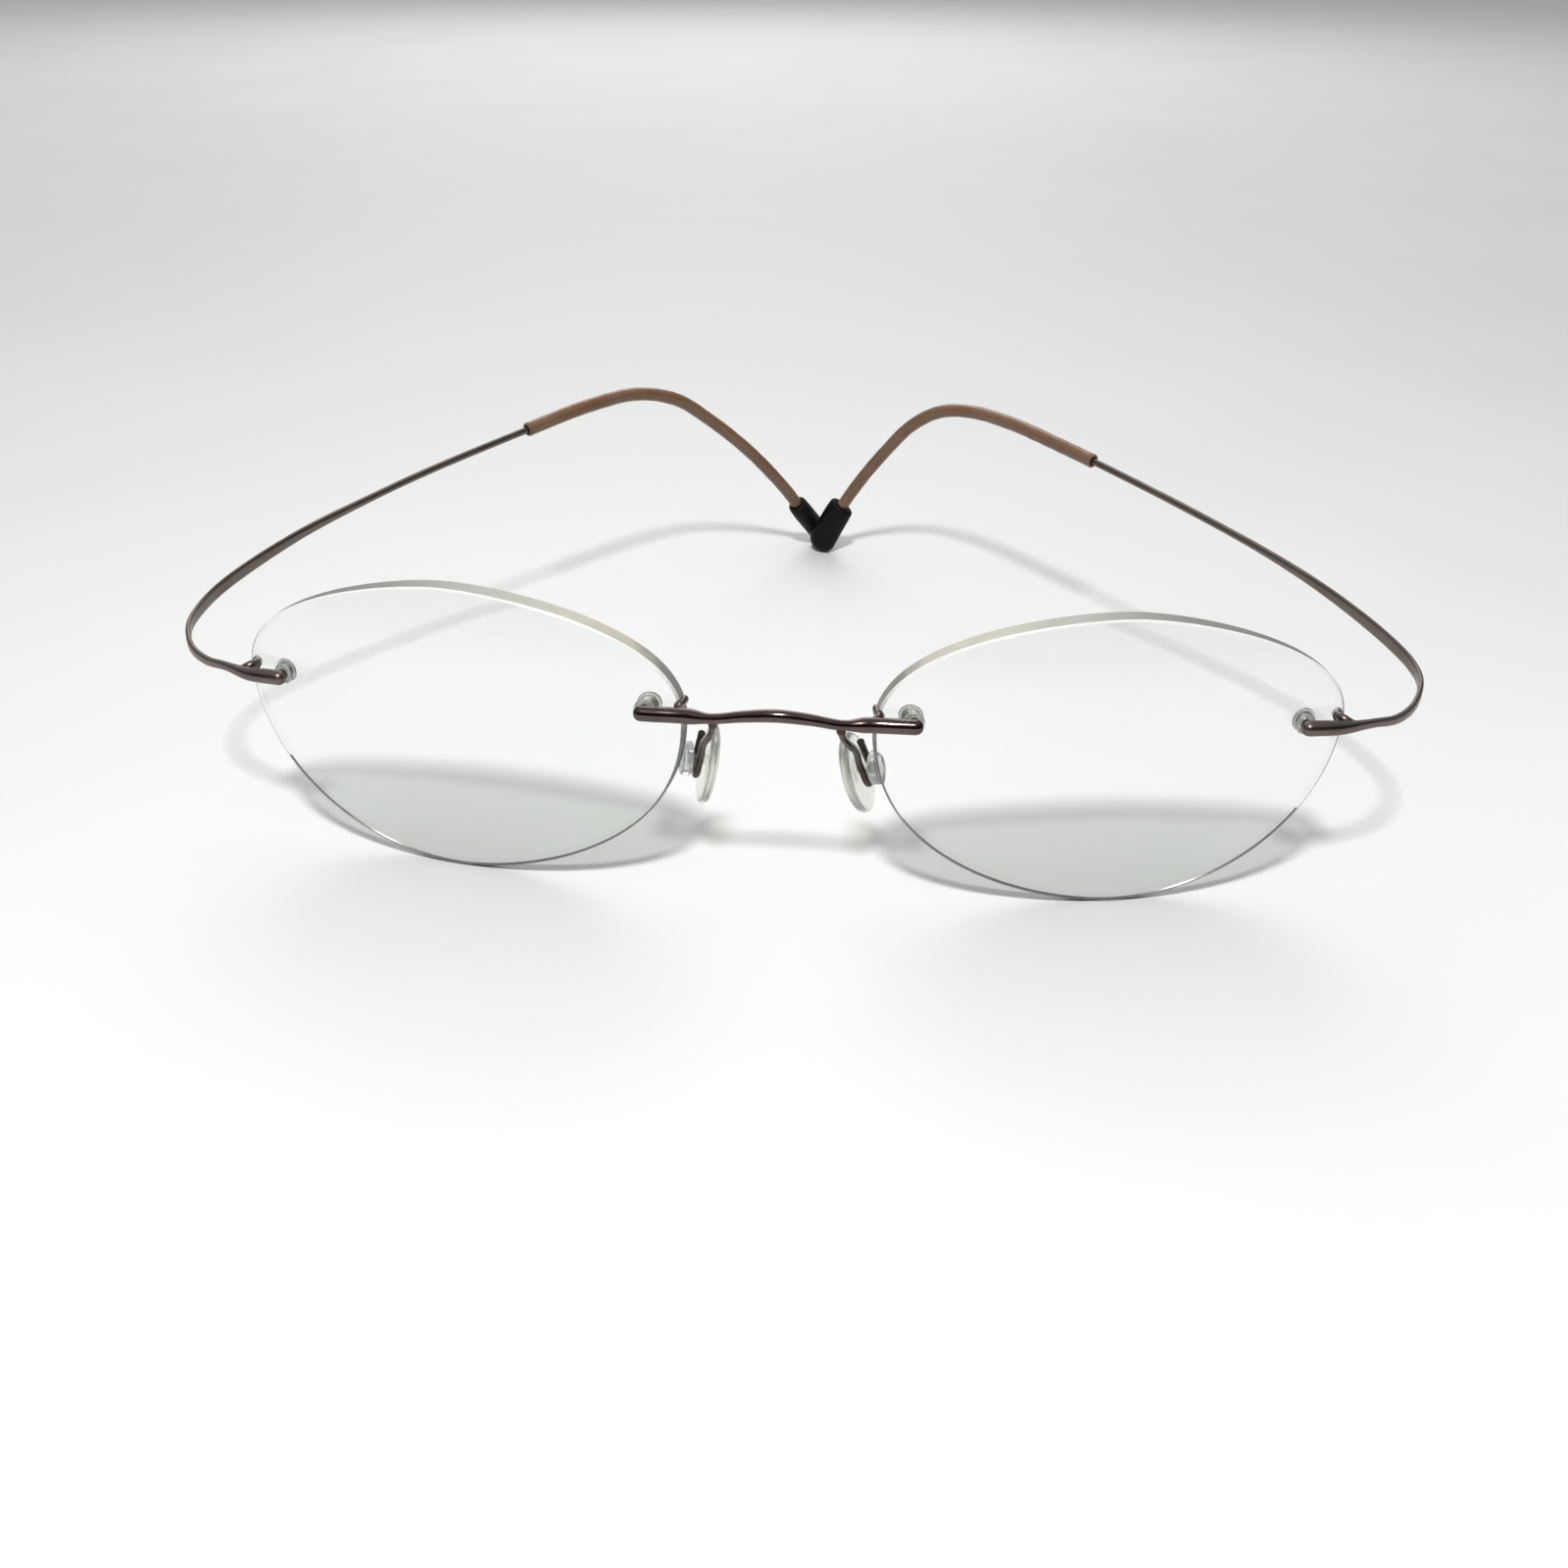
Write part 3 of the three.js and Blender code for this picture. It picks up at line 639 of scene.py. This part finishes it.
def lying_flat(u, v, back):
    """Tips a fastener's flat faces so that they lie along the front or back of the lens."""
    easing = THINNING if back else 0
    slope_u = u / FRONT_RADIUS - (u - THICKEST_U) * easing
    gaining = 2 * TOP_GAIN * max(0, v) / (LENS_HEIGHT / 2) ** 2 if back else 0
    slope_v = v / FRONT_RADIUS - (v - THICKEST_V) * easing + gaining
    return Matrix(((1, 0, 0, 0), (slope_u, 1, slope_v, 0), (0, 0, 1, 0), (0, 0, 0, 1)))


def lens_shape():
    """The lens blank: many rings over each face, and a fine bevel along both edges."""
    reach = min(LENS_HEIGHT, LENS_WIDTH) / 2
    inner = 1 - LENS_BEVEL / reach
    shares = [0.02, *[k / 12 * inner for k in range(1, 12)], inner]

    def ring(share, inset, back):
        points = []
        for p in OUTLINE:
            u, v = p.x * share, p.y * share
            depth = front_depth(u, v) + (thickness(u, v) - inset if back else inset)
            points.append(LENS_PLACE @ Vector((u, depth, v)))
        return points

    rings = [ring(share, 0, False) for share in shares]
    rings += [ring(1, LENS_BEVEL, False), ring(1, LENS_BEVEL, True)]
    rings += [ring(share, 0, True) for share in reversed(shares)]
    return skin(rings)


def drill(radius, place):
    return moved(solid_turned([(radius, -3), (radius, 5)], 48), place)


for side, sign in SIDES:
    lens = make_piece(
        f"{side}_lens_clear", lens_shape(), GLASS, "front", [f"{side}_lens"], sign,
        tools=[
            drill(HOLE_RADIUS, on_lens(*NASAL_HOLE)),
            drill(HOLE_RADIUS, on_lens(*TEMPORAL_HOLE)),
            drill(NOTCH_RADIUS, on_lens(*NASAL_NOTCH)),
            drill(NOTCH_RADIUS, on_lens(*TEMPORAL_NOTCH)),
        ],
        operation="DIFFERENCE", sharp=25,
    )
    lens.data.materials.append(EDGE)
    lens.data.materials.append(BEVEL)
    through = Vector((sign * math.sin(-LENS_WRAP), math.cos(LENS_WRAP), 0))
    for face in lens.data.polygons:
        facing = abs(face.normal.dot(through))
        face.material_index = 1 if facing < EDGE_FACING else 2 if facing < BEVEL_FACING else 0


# -------------------------------------------------------- bushes and flanges

def arc(middle_r, middle_y, radius, start, end, count=5):
    """Points of an arc in a turned profile, with the angles in degrees from outwards."""
    points = []
    for k in range(count + 1):
        angle = math.radians(mix(start, end, k / count))
        points.append((middle_r + radius * math.cos(angle), middle_y + radius * math.sin(angle)))
    return points


def bush_shape(u, v):
    """The collar in front of the lens and the sleeve which lines the hole."""
    depth = thickness(u, v)
    profile = [
        (0.6, -0.24), *arc(1.04, -0.18, 0.06, -90, 0, 3), (1.1, -0.1), (0.88, -0.06),
        (0.88, depth - 0.1), (0.6, depth - 0.1),
    ]
    return moved(moved(turned(profile), lying_flat(u, v, False)), on_lens(u, v))


def flange_shape(u, v):
    """The rear flange, with a raised inner ring and a rounded shoulder."""
    near = thickness(u, v) + 0.02
    far = near + 0.52
    profile = [
        (0.6, near), (1.2, near), *arc(1.06, near + 0.2, 0.2, -20, 90), (0.98, far - 0.12),
        (0.9, far - 0.08), *arc(0.8, far - 0.08, 0.08, 0, 90, 3), (0.6, far),
    ]
    return moved(moved(turned(profile), lying_flat(u, v, True)), on_lens(u, v))


for side, sign in SIDES:
    for where, hole in (("nasal", NASAL_HOLE), ("temporal", TEMPORAL_HOLE)):
        for part, shape in (("bush", bush_shape(*hole)), ("flange", flange_shape(*hole))):
            make_piece(
                f"{side}_{where}_{part}_clear", shape, CLEAR, "front",
                [f"{side}_{where}_{part}"], sign,
            )


# ------------------------------------------------- bars, posts, pins, bridge

def tube(curve, rows, sides=32, guide=UP):
    """A solid skin round a curve; rows are (along, thick, tall, roundness)."""
    return skin([ring_at(curve, a, thick, tall, sides, r, guide) for a, thick, tall, r in rows])


def post_shape(hole):
    end = thickness(*hole) + 0.4
    chamfer = 0.08
    profile = [
        (POST_RADIUS, BAR_DEPTH), (POST_RADIUS, end - chamfer), (POST_RADIUS - chamfer, end)
    ]
    return moved(solid_turned(profile), on_lens(*hole))


def pin_shape(notch, away):
    """A thorn which leaves the bar's back in a ramp and turns through the notch in the lens."""
    u, v = notch
    place = on_lens(u, v)
    end = thickness(u, v) + PIN_TAIL
    route = [
        (away * 1.5, BAR_DEPTH, -0.62), (away * 0.85, BAR_DEPTH + 0.04, -0.3),
        (away * 0.25, BAR_DEPTH + 0.22, 0.05), (0, -0.5, 0.12), (0, 0.3, 0.04),
        (0, end, 0.02),
    ]
    curve = Curve([place @ Vector(p) for p in route])
    shank = evenly(0, curve.total - PIN_RADIUS, 22)
    rows = [(along, mix(PIN_ROOT, PIN_RADIUS, along / curve.total)) for along in shank]
    tip = [(curve.total - distance, PIN_RADIUS * scale) for distance, scale in nose(PIN_RADIUS, 6)]
    rows += reversed(tip[:-1])
    guide = Vector((0.9, 0.1, 0.5)).normalized()
    return tube(curve, [(along, radius, radius, 2) for along, radius in rows], 24, guide)


def bar_centre(hole):
    return on_lens(*hole) @ Vector((0, BAR_DEPTH, 0))


def bridge_curve():
    post = bar_centre(NASAL_HOLE)
    half = [
        Vector((post.x + BAR_RADIUS, post.y + 0.05, post.z)),
        Vector((post.x - 1.6, post.y, post.z)),
        Vector((9.4, post.y - 0.03, post.z)),
        BRIDGE_NECK,
        Vector((
            3.3, (BRIDGE_NECK.y + BRIDGE_MIDDLE.y) / 2, mix(BRIDGE_NECK.z, BRIDGE_MIDDLE.z, 0.62)
        )),
    ]
    other = [Vector((-p.x, p.y, p.z)) for p in reversed(half)]
    return Curve([*half, BRIDGE_MIDDLE, *other])


def bridge_shape():
    curve = bridge_curve()
    neck = BRIDGE_NECK.x

    def radius(along):
        from_middle = abs(along - curve.total / 2)
        if from_middle > neck:
            return mix(NECK_RADIUS, BAR_RADIUS, ease(from_middle, neck + 0.4, 9.2))
        return mix(MIDDLE_RADIUS, NECK_RADIUS, ease(from_middle, 0, neck))

    tip = nose(BAR_RADIUS)
    rows = [(d, BAR_RADIUS * s) for d, s in tip]
    rows += [(a, radius(a)) for a in evenly(1.0, curve.total - 1.0, 150)]
    rows += [(curve.total - d, BAR_RADIUS * s) for d, s in reversed(tip)]
    return tube(curve, [(a, r, r, 2) for a, r in rows], 36)


def mirrored(shape):
    points, faces = shape
    return [Vector((-p.x, p.y, p.z)) for p in points], faces


nasal_fixings = [post_shape(NASAL_HOLE), pin_shape(NASAL_NOTCH, -1)]
make_piece(
    "bridge_polished", bridge_shape(), METAL, "front", ["bridge"],
    tools=[*nasal_fixings, *[mirrored(shape) for shape in nasal_fixings]],
)


# ------------------------------------------------------------------- temples

def temple_curve(side):
    post = bar_centre(TEMPORAL_HOLE)
    outwards = (on_lens(*TEMPORAL_HOLE).to_3x3() @ Vector((1, 0, 0))).normalized()
    start = [post + outwards * distance for distance in (-BAR_RADIUS, 1.4, 3.5)]
    return Curve([*start, *ROUTES[side]])


def temple_section(along):
    """Half thickness, half height and roundness of the metal, from the bar's tip."""
    leaving_bar = ease(along, 2, 8.1)
    growing = ease(along, 7.1, FLEX_ALONG + 7)
    shrinking = ease(along, FLEX_ALONG + 9, TAPER_END)
    tall = mix(mix(STRIP_START[1], STRIP_TALLEST, growing), WIRE_RADIUS, shrinking)
    thick = mix(mix(STRIP_START[0], STRIP_THIN, growing), WIRE_RADIUS, shrinking)
    return (
        along,
        mix(BAR_RADIUS, thick, leaving_bar),
        mix(BAR_RADIUS, tall, leaving_bar),
        mix(mix(2, 3.2, leaving_bar), 2, shrinking),
    )


def temple_shape(curve):
    rows = [(d, BAR_RADIUS * s, BAR_RADIUS * s, 2) for d, s in nose(BAR_RADIUS)]
    end = curve.total - CAP_FLOOR - 0.4
    stations = [*evenly(1.0, TAPER_END, 130), *evenly(TAPER_END + 1, end, 90)]
    rows += [temple_section(along) for along in stations]
    return tube(curve, rows, 28)


def sleeve_shape(curve, length, cap_length):
    """An open tube round the wire, with softened ends and a very slightly uneven wall."""
    end = curve.total - cap_length - 0.05
    start = end - length
    soften = [(0, -0.12), (0.04, -0.05), (0.14, 0)]
    stations = [(start + d, change) for d, change in soften]
    stations += [(a, 0) for a in evenly(start + 0.6, end - 0.6, 150)]
    stations += [(end - d, change) for d, change in reversed(soften)]
    outside, inside = [], []
    for along, change in stations:
        uneven = 0.018 * math.sin(along * 1.7) * math.sin(along * 0.61 + 1)
        radius = SLEEVE_RADIUS - 0.02 + change + uneven
        outside.append(ring_at(curve, along, radius, radius, 28))
        inside.append(ring_at(curve, along, SLEEVE_BORE - change / 4, SLEEVE_BORE - change / 4, 28))
    return skin([*outside, *reversed(inside)], ends=False)


def cap_shape(curve, length, tall, thick):
    """A plump, round-ended rubber plug with a rolled lip and a bore for the wire."""
    mouth = curve.total - length
    bore = SLEEVE_RADIUS + 0.01
    rows = [(mouth + 0.8, bore, bore), (mouth + 0.02, bore, bore)]
    rows.append((mouth, bore + 0.04, bore + 0.04))
    for along, inset in ((0, 0.4), (0.05, 0.28), (0.18, 0.16), (0.45, 0.09)):
        rows.append((mouth + along, thick - inset, tall - inset))
    for along in evenly(0.8, length - 2, 14):
        inset = 0.08 * (1 - ease(along, 0.5, 2))
        rows.append((mouth + along, thick - inset, tall - inset))
    for distance, scale in reversed(nose(1.95, 9)[:-1]):
        rows.append((curve.total - distance, thick * scale, tall * scale))
    return skin([ring_at(curve, a, wide, high, 36) for a, wide, high in rows])


for side, sign in SIDES:
    curve = temple_curve(side)
    strip = make_piece(
        f"{side}_temple_strip", temple_shape(curve), STRIP, None,
        [f"{side}_end_piece", f"{side}_temple_wire"], sign,
        tools=[post_shape(TEMPORAL_HOLE), pin_shape(TEMPORAL_NOTCH, 1)],
    )
    flex = [curve.at(FLEX_ALONG + offset) for offset in (-FLEX_HALF, FLEX_HALF)]
    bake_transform(strip)
    sleeve = make_piece(
        f"{side}_sleeve_tube", sleeve_shape(curve, SLEEVE_LENGTH[side], CAP_LENGTH[side]), SLEEVE,
        f"{side}_temple", [f"{side}_sleeve"], sign,
    )
    sleeve.data.materials.append(LINING)
    for face in list(sleeve.data.polygons)[len(sleeve.data.polygons) // 2:]:
        face.material_index = 1
    make_piece(
        f"{side}_cap_rubber",
        cap_shape(curve, CAP_LENGTH[side], CAP_TALL[side], CAP_THICK[side]), RUBBER,
        f"{side}_temple", [f"{side}_end_cap"], sign, sharp=60,
    )


# ----------------------------------------------------------------- nose pads

def loop_place(lean):
    """A frame on the pad arm's loop: X front to back, Y along the pad, Z towards the lens."""
    top = Vector((-lean, -PAD_FORWARD, PAD_HEIGHT)).normalized()
    level = Vector((math.sin(PAD_SPLAY), math.cos(PAD_SPLAY), 0))
    across = (level - top * level.dot(top)).normalized()
    turn = Matrix((across, top, across.cross(top))).transposed().to_4x4()
    return Matrix.Translation(LOOP_MIDDLE) @ turn


def pad_arm_shape(place):
    """The wire from the bridge's underside, round its loop, to its cut end."""
    turn = []
    for k in range(5):
        angle = math.pi * k / 4
        turn.append((-LOOP_HALF * math.cos(angle), -LEG_BELOW - LOOP_HALF * math.sin(angle)))
    loop = [(-LOOP_HALF, 1.8), (-LOOP_HALF, 0.2), *turn, (LOOP_HALF, 0.9), (LOOP_HALF, LEG_ABOVE)]
    inside_bridge = BRIDGE_NECK + Vector((-0.12, -0.1, -0.1))
    start = BRIDGE_NECK + Vector((0, 0.15, -NECK_RADIUS - 0.3))
    curve = Curve([
        inside_bridge, start, Vector((6.75, -1.5, 19.7)), Vector((7.95, 1.1, 16.9)),
        *[place @ Vector((across, up, 0)) for across, up in loop],
    ])
    rows = []
    for along in evenly(0, curve.total - 0.05, 120):
        solder = 0.1 * math.exp(-(((along - 0.6) / 0.4) ** 2))
        rows.append((along, ARM_RADIUS + solder))
    rows.append((curve.total, ARM_RADIUS - 0.04))
    guide = (place.to_3x3() @ Vector((0, 0, 1))).normalized()
    return tube(curve, [(a, r, r, 2) for a, r in rows], 24, guide)


def pad_shape(place):
    """An oval shell, hollow towards the loop and crowned towards the nose, with a soft rim."""
    sides = 72

    def ring(share, noseward):
        points = []
        for k in range(sides):
            angle = 2 * math.pi * k / sides
            across = PAD_WIDTH / 2 * share * math.cos(angle)
            up = PAD_LENGTH / 2 * share * math.sin(angle) - PAD_DROP
            points.append(place @ Vector((across, up, -noseward)))
        return points

    def crown(share):
        return mix(PAD_FAR, PAD_NEAR + 2 * PAD_RIM, share ** 2.4)

    dish = 0.16
    rows = [(0.03, PAD_NEAR + dish)]
    rows += [(s, PAD_NEAR + dish * (1 - ease(s, 0.45, 0.86))) for s in evenly(0.15, 0.88, 12)]
    edge = crown(0.93)
    middle = (PAD_NEAR + edge) / 2
    half = (edge - PAD_NEAR) / 2
    for k in range(1, 12):
        angle = math.pi * (k / 12 - 0.5)
        rows.append((0.91 + 0.09 * math.cos(angle), middle + half * math.sin(angle)))
    rows += [(s, crown(s)) for s in evenly(0.9, 0.03, 18)]
    return skin([ring(*row) for row in rows])


def boss_shape(place):
    profile = [(0.52, -1.06), (0.52, 1.0), (0.6, 1.2)]
    points, faces = solid_turned(profile, 32)
    upright = Matrix.Rotation(-math.pi / 2, 4, "X")
    return moved((points, faces), place @ upright)


def button_shape(place):
    """The snap button: a clear disc with rounded edges and a blind bore for the boss."""
    near, far = 0.68, 1.78
    profile = [(0.02, near + 0.5), (0.6, near + 0.5), (0.66, near + 0.4), (0.66, near)]
    profile += arc(1.63, near + 0.22, 0.22, -90, 0) + arc(1.63, far - 0.22, 0.22, 0, 90)
    profile += [(1.2, far), (1.1, far - 0.06), (0.02, far - 0.06)]
    upright = Matrix.Rotation(math.pi / 2, 4, "X")
    return moved(solid_turned(profile, 56), place @ upright)


for side, sign in SIDES:
    place = loop_place(PAD_LEAN[side])
    make_piece(
        f"{side}_pad_arm_wire", pad_arm_shape(place), ARM_METAL_PAINTED_SHADE, "front",
        [f"{side}_pad_arm"], sign,
    )
    make_piece(
        f"{side}_nose_pad_silicone", pad_shape(place), SILICONE, f"{side}_pad",
        [f"{side}_nose_pad"], sign, tools=[boss_shape(place)],
    )
    make_piece(
        f"{side}_pad_button_clear", button_shape(place), CLEAR, f"{side}_pad",
        [f"{side}_pad_button"], sign,
    )


# ---------------------------------------------------------- floor and lights

SKY_STRENGTH = 0.54
BRIGHT_SKY = (-0.12, 0.4, 0.62)         # the sky is brightest this way
KEY_PLACE, KEY_TARGET, KEY_SIZE, KEY_WATTS = (-0.01, -0.277, 0.413), (0, -0.02, 0), 0.06, 1.7
BACK_PLACE, BACK_TARGET, BACK_SIZE, BACK_WATTS = (-0.12, 0.9, 0.6), (0, 0.45, 0), 0.8, 3.1
WARM_WHITE = (1, 0.995, 0.985)
FLOOR_HALF = 3.0


def add_floor():
    """A plain pale tabletop, with the faintest mottling."""
    half = FLOOR_HALF
    mesh = bpy.data.meshes.new("tabletop")
    corners = [(-half, -half, 0), (half, -half, 0), (half, half, 0), (-half, half, 0)]
    mesh.from_pydata(corners, [], [(0, 1, 2, 3)])
    floor = new_object("tabletop", mesh)
    n = Nodes("tabletop")
    mottling = n.noise(14, 4)
    n.colour(mottling, (0.35, (0.86, 0.868, 0.862)), (0.65, (0.88, 0.886, 0.88)))
    n.roughness(mottling, 0.55, 0.65)
    mesh.materials.append(n.material)


def add_lamp(name, place, target, size, watts, colour=(1, 1, 1)):
    data = bpy.data.lights.new(name, "AREA")
    data.shape = "DISK"
    data.size = size
    data.energy = watts
    data.color = colour
    lamp = bpy.data.objects.new(name, data)
    bpy.context.scene.collection.objects.link(lamp)
    aim = Vector(target) - Vector(place)
    lamp.rotation_euler = aim.to_track_quat("-Z", "Y").to_euler()
    lamp.location = place


def add_sky():
    """A studio glow: bright overhead and behind the object, dim behind the camera."""
    world = bpy.data.worlds.new("studio")
    bpy.context.scene.world = world
    world.use_nodes = True
    tree = world.node_tree
    tree.nodes.clear()
    direction = tree.nodes.new("ShaderNodeTexCoord")
    towards = tree.nodes.new("ShaderNodeVectorMath")
    towards.operation = "DOT_PRODUCT"
    towards.inputs[1].default_value = BRIGHT_SKY
    ramp = tree.nodes.new("ShaderNodeValToRGB")
    stops = ramp.color_ramp.elements
    stops[0].position, stops[0].color = 0.05, (0.06, 0.06, 0.062, 1)
    stops[1].position, stops[1].color = 0.6, (1.0, 1.0, 1.0, 1)
    glow = tree.nodes.new("ShaderNodeBackground")
    glow.inputs["Strength"].default_value = SKY_STRENGTH
    backdrop = tree.nodes.new("ShaderNodeBackground")
    backdrop.inputs["Color"].default_value = (0.6, 0.605, 0.6, 1)
    path = tree.nodes.new("ShaderNodeLightPath")
    either = tree.nodes.new("ShaderNodeMixShader")
    output = tree.nodes.new("ShaderNodeOutputWorld")
    links = tree.links
    links.new(direction.outputs["Generated"], towards.inputs[0])
    links.new(towards.outputs["Value"], ramp.inputs["Fac"])
    links.new(ramp.outputs["Color"], glow.inputs["Color"])
    links.new(path.outputs["Is Camera Ray"], either.inputs["Fac"])
    links.new(glow.outputs["Background"], either.inputs[1])
    links.new(backdrop.outputs["Background"], either.inputs[2])
    links.new(either.outputs["Shader"], output.inputs["Surface"])


add_floor()
add_sky()
add_lamp("key", KEY_PLACE, KEY_TARGET, KEY_SIZE, KEY_WATTS, WARM_WHITE)
add_lamp("back", BACK_PLACE, BACK_TARGET, BACK_SIZE, BACK_WATTS)
scene = bpy.context.scene
scene.view_settings.view_transform = "Standard"
scene.cycles.caustics_refractive = False    # the lenses' shadows come from their tint alone
scene.cycles.caustics_reflective = False
